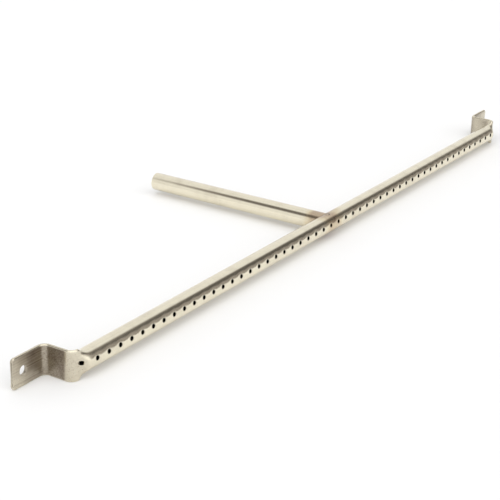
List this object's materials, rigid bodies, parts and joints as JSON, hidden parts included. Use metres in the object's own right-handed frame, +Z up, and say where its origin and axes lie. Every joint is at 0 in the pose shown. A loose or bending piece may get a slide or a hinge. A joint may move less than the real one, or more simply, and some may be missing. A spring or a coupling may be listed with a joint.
{
  "type": "tube burner",
  "caption": "Stainless steel T-shaped gas burner: a straight ported tube with pressed and bent mounting tabs at its ends, and a plain inlet tube welded square to its back.",
  "frame": {"origin": "under the middle of the outline, level with the lowest edges of the two mounting tabs", "axes": "+X along the burner tube, +Y from the burner tube towards the mouth of the inlet tube, +Z up; the ports face -Y"},
  "size_m": [0.751, 0.19, 0.0235],
  "materials": {
    "tube_steel": "mill finish stainless tube, warm grey, with faint drawn lines along it",
    "weld_bead": "as-welded bead, rippled, with straw and brown heat tint"
  },
  "bodies": {
    "root": {"burner_tube": "tube_steel", "inlet_tube": "tube_steel", "saddle_weld": "weld_bead"}
  },
  "joints": []
}
